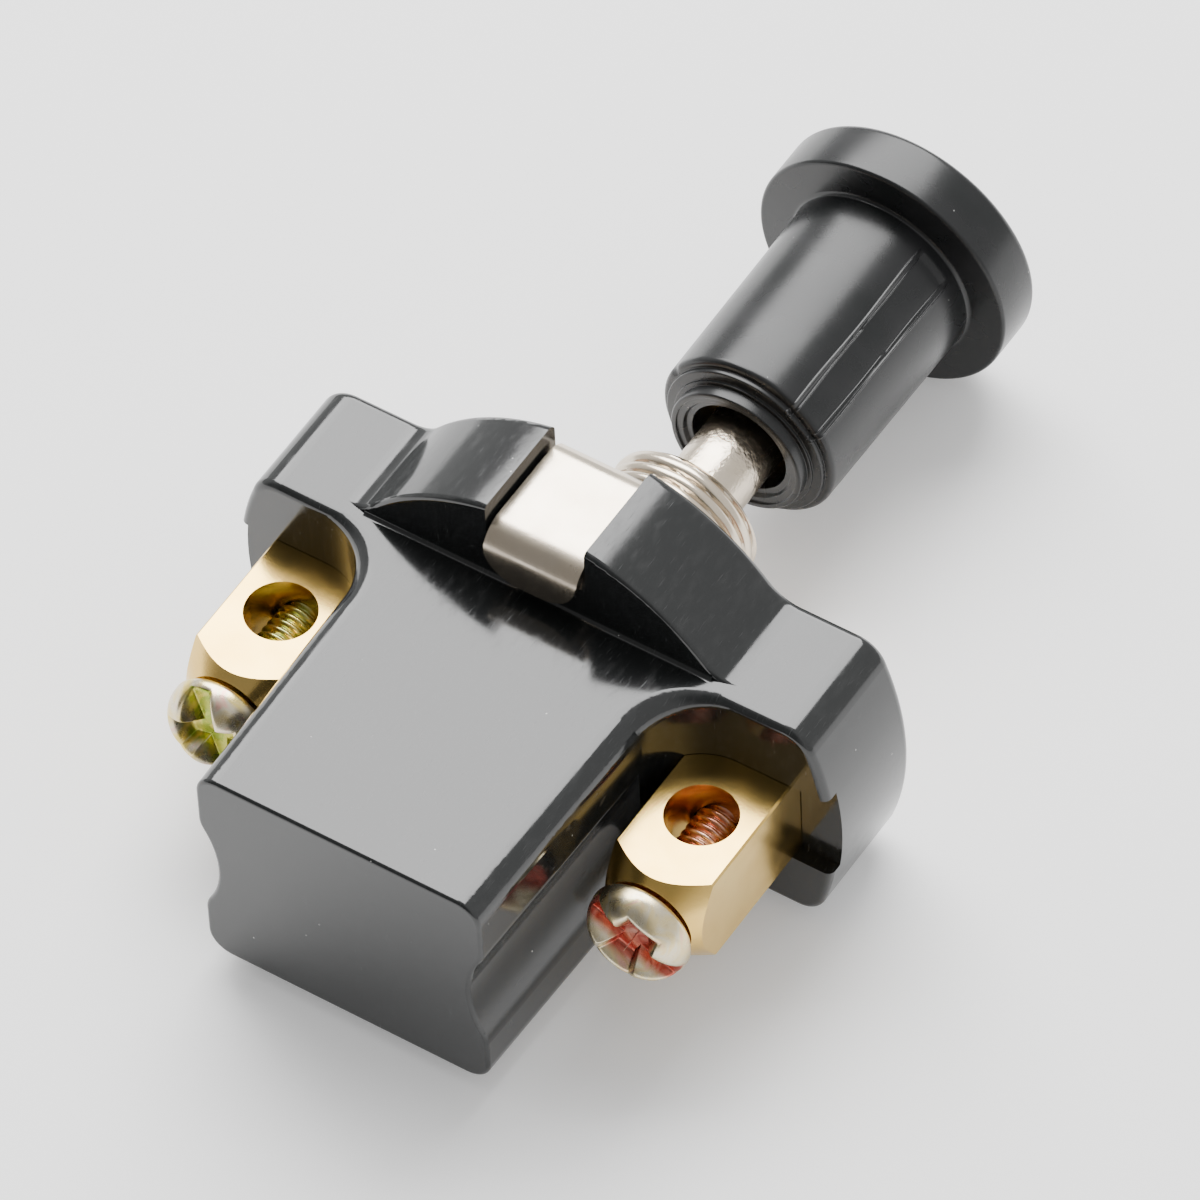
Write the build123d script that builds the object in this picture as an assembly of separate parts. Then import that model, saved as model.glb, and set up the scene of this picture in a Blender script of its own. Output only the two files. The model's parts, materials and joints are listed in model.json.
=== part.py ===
from build123d import *
import math
import os

# Push-pull lamp switch. Millimetres, +Z up, X across the wings, Y along the pull rod.
# The origin is where the bush axis meets the panel seat. The knob lies towards -Y and
# the terminals face +Y.

# ---- driving dimensions ------------------------------------------------------------

# Mounting bracket and moulded housing
PLATE_T = 1.0            # steel of the bracket; the housing starts behind it
PLATE_WIDTH = 26.0
PLATE_HEIGHT = 17.4
PLATE_CORNER_R = 4.0
FRONT_Y = PLATE_T
FLANGE_R = 25.0          # round outline of the two wings
FLANGE_DEPTH = 10.3
WING_TOP_R = 2.6         # where the round outline meets the flat top
WING_BOTTOM_R = 2.0
FRONT_EDGE_R = 0.8
FLANGE_REAR_Y = FRONT_Y + FLANGE_DEPTH
TOP_Z = 10.5
BOTTOM_Z = -9.0
BLOCK_END_Y = 35.7       # flat rear end of the housing
BLOCK_FRONT_HALF = 12.6  # half width where the block leaves the wings
BLOCK_REAR_HALF = 11.8
WAIST_DEPTH = 1.3        # hollow along the block beside each terminal
WAIST_R = 8.4
WAIST_CREST_R = 2.2
BLOCK_EDGE_R = 1.9
BLOCK_END_EDGE_R = 0.3
WING_EDGE_R = 0.6        # rear edge of the wings
CORNER_R = 5.0           # inner corner between wing and block

# Boss over the bush, with the slot that the bracket's strap runs through
BOSS_R = 18.1
BOSS_REAR_Y = FRONT_Y + 9.0
BOSS_COVE_R = 3.0
BOSS_EDGE_R = 0.4        # rear rim of the boss, and the corner at its foot
SLOT_HALF = 4.1
STRAP_HALF = 3.85
STRAP_TOP_Z = 15.9
STRAP_BEND_R = 2.4       # outer radius of the strap's bends
TAB_END_Z = 11.8
TAB_CORNER_R = 2.9

# Round cavity for the mechanism
CAVITY_R = 7.0
CAVITY_END_Y = 33.0
COVER_T = 1.6
COVER_WIDTH = 43.0
COVER_HEIGHT = 15.0
COVER_MID_Z = 0.6
COVER_CORNER_R = 3.0
COVER_REAR_Y = FRONT_Y + COVER_T

# Threaded bush
THREAD_R = 6.0
THREAD_LENGTH = 9.2
THREAD_LEAD_IN = 0.35
BUSH_NECK_R = 5.8        # plain neck through the bracket and the front plate
BUSH_FLANGE_R = 6.8
BUSH_FLANGE_T = 1.2
BUSH_GUIDE_R = 5.0
BUSH_GUIDE_END_Y = 8.7
ROD_CLEARANCE = 0.04

# Terminals
TERMINAL_X = 17.6
TERMINAL_Z = 0.45
BLOCK_SIDE = 8.0         # square brass bar
BLOCK_START_Y = 6.5
TERMINAL_END_Y = 23.6
TURNED_R = 3.48          # flat circle left on the bar's turned end
TURNED_SLOPE = 1.056     # run of the turned cone along Y per millimetre of radius
WIRE_HOLE_R = 2.7
WIRE_HOLE_Y = 16.6
POCKET_GAP = 0.05
CHANNEL_DEPTH = 1.2      # shallow recess that carries the pocket out to the wing's side

# Clamp screws, M4 pan head
SCREW_R = 2.0
SCREW_HEAD_R = 4.0
SCREW_HEAD_H = 3.1
SCREW_HEAD_Y = 23.95
SCREW_TIP_Y = 13.4
TAPPED_END_Y = 13.0
TAPPED_CLEARANCE = 0.05
SCREW_HEAD_EDGE_R = 1.7
RECESS_WIDTH = 1.3
RECESS_DEPTH = 1.7
SCREW_TURN = {-1: 27.0, 1: 74.0}  # degrees from +X to the slot, seen from the knob

# Fixed contacts and their screws
CONTACT_T = 0.6
CONTACT_PLATE_Y = 4.2
CONTACT_PLATE_T = 0.8
CONTACT_HEIGHT = 4.0
BLADE_X = 5.9            # inner face of the blade beside the bush
BLADE_BEND_Y = 11.0
BLADE_TOUCH_Y = 16.0
BLADE_END_Y = 18.0
TOUCH_CLEARANCE = 0.05
CONTACT_SCREW_R = 1.45
CONTACT_SCREW_HEAD_R = 2.6
CONTACT_SCREW_HEAD_H = 1.5
CONTACT_SCREW_END_Y = 11.0

# Pull rod and what it carries
ROD_R = 3.0
ROD_SHOULDER_Y = 17.0
ROD_TAIL_R = 2.0
ROD_TAIL_END_Y = 32.0
KNOB_THREAD_R = 2.5
KNOB_THREAD_START_Y = -18.9
KNOB_THREAD_END_Y = -31.0
TRAVEL = 8.0
DETENT_Y = 5.5
WIRE_R = 0.5             # detent spring wire
WIRE_X = 3.05
GROOVE_R = 0.55
WASHER_T = 0.5
WASHER_R = 4.0
CARRIER_R = 4.4
CARRIER_SEAT_R = 3.4
RING_START_Y = 21.5
RING_LENGTH = 5.0
RING_R = 5.0
CARRIER_END_Y = 30.0
CLIP_Y = 30.75
CLIP_T = 0.6

# Knob
SPIGOT_END_Y = -15.4
KNOB_EDGE_R = 0.4        # hub's end edge, and the corner between hub and head
SPIGOT_R = 5.5
SPIGOT_STEP_R = 4.9
SPIGOT_HOLE_R = 3.95
COLLAR_Y = -16.6
COLLAR_R = 6.6
HUB_END_Y = -17.05
HUB_R = 7.23
HUB_HEAD_R = 7.4
HEAD_REAR_Y = -35.2
HEAD_RIM_Y = -39.5
HEAD_R = 10.45
HEAD_CROWN_Y = -40.3
HEAD_REAR_EDGE_R = 0.3
HEAD_FRONT_EDGE_R = 0.7
HUB_GROOVE_DEG = 137.0   # from +X towards +Z
HUB_GROOVE_WIDTH = 2.9
HUB_GROOVE_DEPTH = 0.35
HUB_GROOVE_END_Y = -34.0
INSERT_R = 4.4
INSERT_START_Y = -19.1
INSERT_END_Y = -31.6
INSERT_CLEARANCE = 0.06

SIDES = {"left": -1, "right": 1}


# ---- helpers -----------------------------------------------------------------------

def block_of(x0, x1, y0, y1, z0, z1):
    """Box between two corners."""
    centre = ((x0 + x1) / 2, (y0 + y1) / 2, (z0 + z1) / 2)
    return Pos(*centre) * Box(abs(x1 - x0), abs(y1 - y0), abs(z1 - z0))


def rod_y(radius, y0, y1, x=0.0, z=0.0):
    """Cylinder along Y."""
    return Pos(x, (y0 + y1) / 2, z) * Rot(90, 0, 0) * Cylinder(radius, abs(y1 - y0))


def turned(points):
    """Solid of revolution about the Y axis from (radius, y) points."""
    return revolve(make_face(Polyline(*points, close=True)), Axis.Y, 360)


def section_at(sketch, y):
    """An XZ sketch moved to a given Y."""
    return Plane.XZ.offset(-y) * sketch


def extrude_y(sketch, y0, y1):
    """An XZ sketch made solid between two Y values."""
    return extrude(section_at(sketch, y0), amount=-(y1 - y0))


def mirrored(shape, side):
    """The shape as drawn for +X, or its mirror image."""
    return shape if side > 0 else mirror(shape, Plane.YZ)


def save(name, shape):
    shape.label = name
    export_step(shape, os.path.join("parts", name + ".step"))


# ---- housing -----------------------------------------------------------------------

def flange_section():
    """Round wings cut flat at the top and the bottom."""
    mid_z = (TOP_Z + BOTTOM_Z) / 2
    outline = Circle(FLANGE_R) & Pos(0, mid_z) * Rectangle(3 * FLANGE_R, TOP_Z - BOTTOM_Z)
    outline = fillet(outline.vertices().group_by(Axis.Y)[-1], WING_TOP_R)
    return fillet(outline.vertices().group_by(Axis.Y)[0], WING_BOTTOM_R)


def block_section(half_width):
    """Cross-section of the rear block: rounded corners and a waist on each side."""
    height = TOP_Z - BOTTOM_Z
    mid_z = (TOP_Z + BOTTOM_Z) / 2
    outline = Pos(0, mid_z) * RectangleRounded(2 * half_width, height, BLOCK_EDGE_R)
    for side in SIDES.values():
        centre = side * (half_width - WAIST_DEPTH + WAIST_R)
        outline -= Pos(centre, TERMINAL_Z) * Circle(WAIST_R)
    reach = math.sqrt(WAIST_R ** 2 - (WAIST_R - WAIST_DEPTH) ** 2)
    crests = [
        v for v in outline.vertices()
        if abs(abs(v.Y - TERMINAL_Z) - reach) < 0.01
    ]
    return fillet(crests, WAIST_CREST_R)


def block_half_at(y):
    """Half width of the tapering block at a given Y."""
    taper = (BLOCK_FRONT_HALF - BLOCK_REAR_HALF) / (BLOCK_END_Y - FRONT_Y)
    return BLOCK_FRONT_HALF - taper * (y - FRONT_Y)


def corner_web(side):
    """Concave corner between the wing's rear face and the block."""
    y1 = FLANGE_REAR_Y + CORNER_R
    wall_x = block_half_at(y1)
    x1 = wall_x + CORNER_R
    web = block_of(wall_x - 2, x1, FLANGE_REAR_Y - 2, y1, BOTTOM_Z, TOP_Z)
    web -= Pos(x1, y1, 0) * Cylinder(CORNER_R, 2 * (TOP_Z - BOTTOM_Z))
    return mirrored(web, side)


def edge_waste(radius):
    """What rounding a right-angled edge takes away; the solid is at -x, -y."""
    over = 0.3
    outline = Polyline((-radius, 0), (-radius, over), (over, over), (over, -radius), (0, -radius))
    outline += RadiusArc((0, -radius), (-radius, 0), -radius)
    return make_face(outline)


def web_rounding(side, end):
    """Rounds the web's edge at the top or bottom: tight at the wing, wider at the block."""
    y1 = FLANGE_REAR_Y + CORNER_R
    wall_x = block_half_at(y1)
    x1 = wall_x + CORNER_R
    z = TOP_Z if end > 0 else BOTTOM_Z
    at_wing = Plane(origin=(x1, FLANGE_REAR_Y, z), x_dir=(0, 1, 0), z_dir=(end, 0, 0))
    at_block = Plane(origin=(wall_x, y1, z), x_dir=(1, 0, 0), z_dir=(0, -end, 0))
    half_turn = CORNER_R * math.sqrt(0.5)
    path = ThreePointArc((x1, FLANGE_REAR_Y, z), (x1 - half_turn, y1 - half_turn, z), (wall_x, y1, z))
    sections = [at_wing * edge_waste(WING_EDGE_R), at_block * edge_waste(BLOCK_EDGE_R)]
    return mirrored(sweep(sections, path, multisection=True), side)


def boss_outline():
    """Round hump over the bush, blended into the flat top on both sides."""
    from_axis = BOSS_R + BOSS_COVE_R
    cove_z = TOP_Z + BOSS_COVE_R
    cove_x = math.sqrt(from_axis ** 2 - cove_z ** 2)
    touch_x = cove_x * BOSS_R / from_axis
    touch_z = cove_z * BOSS_R / from_axis
    low_z = TOP_Z - 2
    foot = make_face(Polyline(
        (-cove_x, low_z), (cove_x, low_z), (cove_x, cove_z), (touch_x, touch_z),
        (-touch_x, touch_z), (-cove_x, cove_z),
        close=True,
    ))
    for side in SIDES.values():
        foot -= Pos(side * cove_x, cove_z) * Circle(BOSS_COVE_R)
    hump = Circle(BOSS_R) & Pos(0, low_z + BOSS_R) * Rectangle(3 * BOSS_R, 2 * BOSS_R)
    return foot + hump


def boss_foot():
    """Small concave corner between the boss's rear face and the flat top."""
    r = BOSS_EDGE_R
    section = Pos(r / 2, r / 2) * Rectangle(r, r) - Pos(r, r) * Circle(r)
    corner = Plane(origin=(0, BOSS_REAR_Y, TOP_Z), x_dir=(0, 1, 0), z_dir=(1, 0, 0))
    return extrude(corner * section, amount=BOSS_R * 0.8, both=True)


def strap_slot():
    """Slot through the boss, its floor rounded at both ends for the strap's bends."""
    floor_z = STRAP_TOP_Z - PLATE_T
    above = block_of(-SLOT_HALF, SLOT_HALF, 0, 2 * FLANGE_REAR_Y, floor_z - 3, BOSS_R + 1)
    floor = block_of(-SLOT_HALF - 1, SLOT_HALF + 1, FRONT_Y, BOSS_REAR_Y, floor_z - 4, floor_z)
    ends = [e for e in floor.edges().filter_by(Axis.X) if abs(e.center().Z - floor_z) < 0.01]
    slot = above - fillet(ends, STRAP_BEND_R - PLATE_T + 0.2)
    keep = block_of(-SLOT_HALF, SLOT_HALF, 0, BOSS_REAR_Y + BOSS_EDGE_R, floor_z - 3, BOSS_R + 1)
    return slot & keep


def terminal_pocket(side):
    """Square pocket for the brass block, its shallow channel out to the side of the wing,
    the hole for the contact screw and the front channel for the fixed contact."""
    half = BLOCK_SIDE / 2 + POCKET_GAP
    z0 = TERMINAL_Z - half
    z1 = TERMINAL_Z + half
    x0 = TERMINAL_X - half
    pocket = block_of(x0, TERMINAL_X + half, BLOCK_START_Y, BLOCK_END_Y, z0, z1)
    channel_y = FLANGE_REAR_Y - CHANNEL_DEPTH
    pocket += block_of(x0, FLANGE_R + 1, channel_y, BLOCK_END_Y, z0, z1)
    pocket += rod_y(CONTACT_SCREW_R + 0.15, COVER_REAR_Y, BLOCK_START_Y, TERMINAL_X, TERMINAL_Z)
    web_front = CONTACT_PLATE_Y + CONTACT_PLATE_T
    reach = CONTACT_HEIGHT / 2 + 0.2
    pocket += block_of(
        CAVITY_R - 1.5, TERMINAL_X + 3.3, COVER_REAR_Y - 0.1, web_front,
        TERMINAL_Z - reach, TERMINAL_Z + reach,
    )
    head_r = CONTACT_SCREW_HEAD_R + 0.2
    pocket += rod_y(head_r, COVER_REAR_Y - 0.1, CONTACT_PLATE_Y, TERMINAL_X, TERMINAL_Z)
    return mirrored(pocket, side)


def cover_outline(gap):
    """Rounded plate outline that closes the front of the housing."""
    outline = RectangleRounded(COVER_WIDTH + 2 * gap, COVER_HEIGHT + 2 * gap, COVER_CORNER_R)
    return Pos(0, COVER_MID_Z) * outline


def strap_recess():
    """Shallow recess under the housing for the bracket's lower strap."""
    floor_z = BOTTOM_Z + PLATE_T
    return block_of(-SLOT_HALF, SLOT_HALF, 0, BOSS_REAR_Y + 0.2, BOTTOM_Z - 1, floor_z)


def housing():
    wings = flange_section()
    front = extrude_y(wings + boss_outline(), FRONT_Y, BOSS_REAR_Y)
    front = fillet(front.faces().sort_by(Axis.Y)[0].edges(), FRONT_EDGE_R)
    rim = [
        e for e in front.faces().sort_by(Axis.Y)[-1].edges().filter_by(GeomType.CIRCLE)
        if abs(e.radius - BOSS_R) < 0.01
    ]
    front = fillet(rim, BOSS_EDGE_R)
    flange = extrude_y(wings, FRONT_Y + FRONT_EDGE_R, FLANGE_REAR_Y)
    flange = fillet(flange.faces().sort_by(Axis.Y)[-1].edges(), WING_EDGE_R)
    rear = loft([
        section_at(block_section(BLOCK_FRONT_HALF), FRONT_Y + FRONT_EDGE_R),
        section_at(block_section(BLOCK_REAR_HALF), BLOCK_END_Y),
    ])
    rear = fillet(rear.faces().sort_by(Axis.Y)[-1].edges(), BLOCK_END_EDGE_R)
    body = front + flange + rear + boss_foot()
    for side in SIDES.values():
        web = corner_web(side)
        for end in (1, -1):
            web -= web_rounding(side, end)
        body += web
    for side in SIDES.values():
        body -= terminal_pocket(side)
    body -= strap_slot()
    body -= extrude_y(cover_outline(0.1), FRONT_Y - 1, COVER_REAR_Y)
    body -= rod_y(CAVITY_R, FRONT_Y, CAVITY_END_Y)
    body -= strap_recess()
    return body


def front_cover():
    """Insulating plate let into the front of the housing, held between bracket and bush."""
    plate = extrude_y(cover_outline(0), FRONT_Y, COVER_REAR_Y)
    return plate - rod_y(BUSH_NECK_R + 0.05, 0, COVER_REAR_Y + 1)


# ---- bracket and bush --------------------------------------------------------------

def strap_profile(outer_z, tab_z, rear_y):
    """Side outline (Y, Z) of a strap: up the front, back over the housing, down behind."""
    inner_z = outer_z - PLATE_T
    outline = Polyline(
        (0, 0), (0, outer_z), (rear_y, outer_z), (rear_y, tab_z),
        (rear_y - PLATE_T, tab_z), (rear_y - PLATE_T, inner_z), (PLATE_T, inner_z), (PLATE_T, 0),
        close=True,
    )
    return make_face(outline)


def strap(outer_z, tab_z, rear_y):
    """Strap of the bracket, bent round at both ends."""
    solid = extrude(Plane.YZ * strap_profile(outer_z, tab_z, rear_y), amount=STRAP_HALF, both=True)
    inner_z = outer_z - PLATE_T
    across = solid.edges().filter_by(Axis.X)
    solid = fillet([e for e in across if abs(e.center().Z - outer_z) < 0.01], STRAP_BEND_R)
    across = solid.edges().filter_by(Axis.X)
    inside = [e for e in across if abs(e.center().Z - inner_z) < 0.01]
    return fillet(inside, STRAP_BEND_R - PLATE_T)


def mounting_bracket():
    """Nickelled steel plate behind the panel, with a strap over the boss and one below."""
    plate = extrude_y(RectangleRounded(PLATE_WIDTH, PLATE_HEIGHT, PLATE_CORNER_R), 0, PLATE_T)
    rear_y = BOSS_REAR_Y + PLATE_T
    keep_height = 2 * (STRAP_TOP_Z - TAB_END_Z)
    top = strap(STRAP_TOP_Z, TAB_END_Z - TAB_CORNER_R, rear_y)
    tab = RectangleRounded(2 * STRAP_HALF, keep_height, TAB_CORNER_R)
    tab = Pos(0, TAB_END_Z + keep_height / 2) * tab
    ahead = block_of(-STRAP_HALF, STRAP_HALF, 0, BOSS_REAR_Y, -STRAP_TOP_Z, STRAP_TOP_Z)
    top &= ahead + extrude_y(tab, BOSS_REAR_Y, rear_y)
    bottom = block_of(-STRAP_HALF, STRAP_HALF, 0, BOSS_REAR_Y, BOTTOM_Z, BOTTOM_Z + PLATE_T)
    bottom += block_of(-STRAP_HALF, STRAP_HALF, 0, PLATE_T, BOTTOM_Z, 0)
    front_bend = [
        e for e in bottom.edges().filter_by(Axis.X)
        if abs(e.center().Z - BOTTOM_Z) < 0.01 and e.center().Y < 0.01
    ]
    bottom = fillet(front_bend, PLATE_T * 0.9)
    bracket = plate + top + bottom
    return bracket - rod_y(BUSH_NECK_R + 0.05, -1, PLATE_T + 1)


def threaded_bush():
    """Bush with its panel thread, a flange behind the insulating plate and a slotted guide."""
    flange_end_y = COVER_REAR_Y + BUSH_FLANGE_T
    bore = ROD_R + ROD_CLEARANCE
    bush = turned([
        (bore, -THREAD_LENGTH), (THREAD_R - 0.5, -THREAD_LENGTH),
        (THREAD_R, -THREAD_LENGTH + THREAD_LEAD_IN), (THREAD_R, 0),
        (BUSH_NECK_R, 0), (BUSH_NECK_R, COVER_REAR_Y),
        (BUSH_FLANGE_R, COVER_REAR_Y), (BUSH_FLANGE_R, flange_end_y),
        (BUSH_GUIDE_R, flange_end_y), (BUSH_GUIDE_R, BUSH_GUIDE_END_Y), (bore, BUSH_GUIDE_END_Y),
    ])
    slot_half = WIRE_R + 0.15
    for side in SIDES.values():
        x_inner = side * (WIRE_X - WIRE_R - 0.3)
        x_outer = side * (BUSH_GUIDE_R + 1)
        bush -= block_of(x_inner, x_outer, DETENT_Y - slot_half, DETENT_Y + slot_half, -8, 8)
    return bush


def detent_spring():
    """Hairpin of spring wire whose legs sit in the rod's groove through the bush slots."""
    bend_z = -3.3
    top_z = 5.4
    path = Polyline((-WIRE_X, top_z), (-WIRE_X, bend_z)) + Polyline((WIRE_X, bend_z), (WIRE_X, top_z))
    path += ThreePointArc((-WIRE_X, bend_z), (0, bend_z - WIRE_X), (WIRE_X, bend_z))
    path = section_at(path, DETENT_Y)
    start = Plane(origin=(-WIRE_X, DETENT_Y, top_z), z_dir=(0, 0, -1))
    return sweep(start * Circle(WIRE_R), path)


# ---- terminals and fixed contacts --------------------------------------------------

def terminal_block(side):
    """Square brass bar with a turned end, a cross hole for the wire and a tapped hole."""
    half = BLOCK_SIDE / 2
    x0 = TERMINAL_X - half
    x1 = TERMINAL_X + half
    bar = block_of(x0, x1, BLOCK_START_Y, TERMINAL_END_Y, TERMINAL_Z - half, TERMINAL_Z + half)
    long_edges = bar.edges().filter_by(Axis.Y)
    bar = chamfer(long_edges, 0.15)
    large_r = 2 * half
    cone_run = (large_r - TURNED_R) * TURNED_SLOPE
    limit = turned([
        (0, BLOCK_START_Y - 1), (large_r, BLOCK_START_Y - 1), (large_r, TERMINAL_END_Y - cone_run),
        (TURNED_R, TERMINAL_END_Y), (0, TERMINAL_END_Y),
    ])
    bar &= Pos(TERMINAL_X, 0, TERMINAL_Z) * limit
    bar -= Pos(TERMINAL_X, WIRE_HOLE_Y, TERMINAL_Z) * Cylinder(WIRE_HOLE_R, 2 * BLOCK_SIDE)
    tapped = SCREW_R + TAPPED_CLEARANCE
    bar -= rod_y(tapped, TAPPED_END_Y, TERMINAL_END_Y + 1, TERMINAL_X, TERMINAL_Z)
    front_hole = CONTACT_SCREW_R + 0.05
    bar -= rod_y(front_hole, BLOCK_START_Y - 1, CONTACT_SCREW_END_Y + 0.5, TERMINAL_X, TERMINAL_Z)
    return mirrored(bar, side)


def clamp_screw(side):
    """M4 pan-head screw with a combined cross and slot recess; its tip crosses the wire hole."""
    end_y = SCREW_HEAD_Y + SCREW_HEAD_H
    head = rod_y(SCREW_HEAD_R, SCREW_HEAD_Y, end_y)
    head = fillet(head.faces().sort_by(Axis.Y)[-1].edges(), SCREW_HEAD_EDGE_R)
    head = fillet(head.faces().sort_by(Axis.Y)[0].edges(), 0.25)
    half = RECESS_WIDTH / 2
    floor_y = end_y - RECESS_DEPTH
    slot_reach = SCREW_HEAD_R + 1
    cross_reach = SCREW_HEAD_R * 0.68
    head -= block_of(-slot_reach, slot_reach, floor_y, end_y + 1, -half, half)
    head -= block_of(-half, half, floor_y, end_y + 1, -cross_reach, cross_reach)
    lead_in = 0.6
    screw = head + turned([
        (0, SCREW_TIP_Y), (SCREW_R - lead_in, SCREW_TIP_Y), (SCREW_R, SCREW_TIP_Y + lead_in),
        (SCREW_R, SCREW_HEAD_Y + 0.5), (0, SCREW_HEAD_Y + 0.5),
    ])
    return Pos(side * TERMINAL_X, 0, TERMINAL_Z) * (Rot(0, -SCREW_TURN[side], 0) * screw)


def bent_strip(points, thickness, z0, z1):
    """Flat strip of even thickness along (x, y) points, which lie on its inner face."""
    outer = []
    for i, (x, y) in enumerate(points):
        before = points[max(i - 1, 0)]
        after = points[min(i + 1, len(points) - 1)]
        dx, dy = after[0] - before[0], after[1] - before[1]
        length = math.hypot(dx, dy)
        outer.append((x + thickness * dy / length, y - thickness * dx / length))
    outline = Polyline(*points, *reversed(outer), close=True)
    return Pos(0, 0, z0) * extrude(make_face(outline), amount=z1 - z0)


def fixed_contact(side):
    """Bronze contact: a plate clamped under the terminal's screw and a blade beside the rod."""
    z0 = TERMINAL_Z - CONTACT_HEIGHT / 2
    z1 = TERMINAL_Z + CONTACT_HEIGHT / 2
    touch_x = RING_R + TOUCH_CLEARANCE
    blade = bent_strip(
        [
            (BLADE_X, CONTACT_PLATE_Y), (BLADE_X, BLADE_BEND_Y), (touch_x, BLADE_TOUCH_Y - 0.6),
            (touch_x, BLADE_TOUCH_Y + 0.6), (touch_x + 0.6, BLADE_END_Y),
        ],
        CONTACT_T, z0, z1,
    )
    plate_end = CONTACT_PLATE_Y + CONTACT_PLATE_T
    plate = block_of(BLADE_X + 0.2, TERMINAL_X + 2.9, CONTACT_PLATE_Y, plate_end, z0, z1)
    contact = blade + plate
    hole = CONTACT_SCREW_R + 0.05
    contact -= rod_y(hole, CONTACT_PLATE_Y - 1, plate_end + 1, TERMINAL_X, TERMINAL_Z)
    return mirrored(contact, side)


def contact_screw(side):
    """Small cheese-head screw that holds a terminal block and its contact to the housing."""
    head_y = CONTACT_PLATE_Y - CONTACT_SCREW_HEAD_H
    head = rod_y(CONTACT_SCREW_HEAD_R, head_y, CONTACT_PLATE_Y)
    head -= block_of(-4, 4, head_y - 1, head_y + 0.7, -0.35, 0.35)
    screw = head + rod_y(CONTACT_SCREW_R, CONTACT_PLATE_Y - 0.2, CONTACT_SCREW_END_Y)
    return mirrored(Pos(TERMINAL_X, 0, TERMINAL_Z) * screw, side)


# ---- pull rod and what it carries --------------------------------------------------

def pull_rod():
    """Stepped rod: knob thread, two detent grooves, and a tail for the contact carrier."""
    groove_half = CLIP_T / 2 + 0.05
    tail_groove_r = ROD_TAIL_R - 0.5
    rod = turned([
        (0, KNOB_THREAD_END_Y), (KNOB_THREAD_R - 0.4, KNOB_THREAD_END_Y),
        (KNOB_THREAD_R, KNOB_THREAD_END_Y + 0.4), (KNOB_THREAD_R, KNOB_THREAD_START_Y),
        (ROD_R, KNOB_THREAD_START_Y), (ROD_R, ROD_SHOULDER_Y), (ROD_TAIL_R, ROD_SHOULDER_Y),
        (ROD_TAIL_R, CLIP_Y + CLIP_T / 2 - groove_half), (tail_groove_r, CLIP_Y + CLIP_T / 2 - groove_half),
        (tail_groove_r, CLIP_Y + CLIP_T / 2 + groove_half), (ROD_TAIL_R, CLIP_Y + CLIP_T / 2 + groove_half),
        (ROD_TAIL_R, ROD_TAIL_END_Y - 0.3), (ROD_TAIL_R - 0.3, ROD_TAIL_END_Y), (0, ROD_TAIL_END_Y),
    ])
    for y in (DETENT_Y, DETENT_Y + TRAVEL):
        rod -= revolve(Pos(WIRE_X, y) * Circle(GROOVE_R), Axis.Y, 360)
    return rod


def ring_y(inner_r, outer_r, y0, y1):
    """Plain ring about the Y axis."""
    return rod_y(outer_r, y0, y1) - rod_y(inner_r, y0 - 1, y1 + 1)


def shoulder_washer():
    return ring_y(ROD_TAIL_R + 0.03, WASHER_R, ROD_SHOULDER_Y, ROD_SHOULDER_Y + WASHER_T)


def contact_carrier():
    """Insulating sleeve with a collar in front of the contact ring."""
    start_y = ROD_SHOULDER_Y + WASHER_T
    sleeve = ring_y(ROD_TAIL_R + 0.03, CARRIER_SEAT_R, start_y, CARRIER_END_Y)
    return sleeve + ring_y(ROD_TAIL_R + 0.03, CARRIER_R, start_y, RING_START_Y)


def contact_ring():
    ring = ring_y(CARRIER_SEAT_R + 0.02, RING_R, RING_START_Y, RING_START_Y + RING_LENGTH)
    rims = [e for e in ring.edges().filter_by(GeomType.CIRCLE) if e.radius > RING_R - 0.1]
    return chamfer(rims, 0.4)


def carrier_collar():
    """Insulating collar behind the contact ring."""
    return ring_y(CARRIER_SEAT_R + 0.02, CARRIER_R, RING_START_Y + RING_LENGTH, CARRIER_END_Y)


def end_washer():
    return ring_y(ROD_TAIL_R + 0.03, WASHER_R, CARRIER_END_Y, CARRIER_END_Y + WASHER_T)


def retaining_clip():
    """Open clip in the groove at the rod's end."""
    clip = ring_y(ROD_TAIL_R - 0.45, ROD_TAIL_R + 1.4, CLIP_Y, CLIP_Y + CLIP_T)
    mouth = ROD_TAIL_R - 0.5
    return clip - block_of(-mouth, mouth, CLIP_Y - 1, CLIP_Y + CLIP_T + 1, -6, 0)


# ---- knob --------------------------------------------------------------------------

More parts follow.
